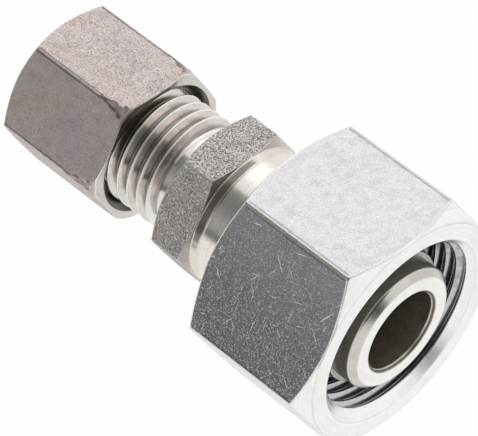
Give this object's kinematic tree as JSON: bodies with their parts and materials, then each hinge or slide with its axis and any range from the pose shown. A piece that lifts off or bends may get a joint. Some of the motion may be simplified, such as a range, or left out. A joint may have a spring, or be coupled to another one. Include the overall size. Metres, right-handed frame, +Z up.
{
  "type": "reducing insert",
  "caption": "Straight reducing insert for cone compression tube fittings, with a plain spigot, swivel union nuts and cutting rings.",
  "frame": {"origin": "on the surface that the part lies on, under the middle of its length and under its axis", "axes": "+X along the fitting's axis, out of the open end of the large union nut; +Z up, square to a flat of the large union nut"},
  "size_m": [0.0512, 0.0312, 0.027],
  "materials": {
    "body_steel": "satin",
    "large_nut_steel": "satin",
    "small_nut_steel": "satin",
    "ring_steel": "polished"
  },
  "bodies": {
    "fitting": {"fitting_body": "body_steel", "large_cutting_ring": "ring_steel"},
    "large_nut": {"large_union_nut": "large_nut_steel"},
    "small_ring": {"small_cutting_ring": "ring_steel"},
    "small_nut": {"small_union_nut": "small_nut_steel"}
  },
  "joints": [
    {"name": "large_nut_swivel", "type": "hinge", "parent": "fitting", "child": "large_nut", "pos_m": [0.01705, 0, 0.0135], "axis": [1, 0, 0], "continuous": true},
    {"name": "small_nut_feed", "type": "slide", "parent": "fitting", "child": "small_ring", "axis": [1, 0, 0], "range_m": [-0.0023, 0.00155]},
    {"name": "small_nut_turn", "type": "hinge", "parent": "small_ring", "child": "small_nut", "pos_m": [-0.0183, 0, 0.0135], "axis": [1, 0, 0], "range_deg": [-540, 360]}
  ],
  "couplings": [
    {"joint": "small_nut_feed", "follows": "small_nut_turn", "m_per_rad": 0.00023873}
  ]
}
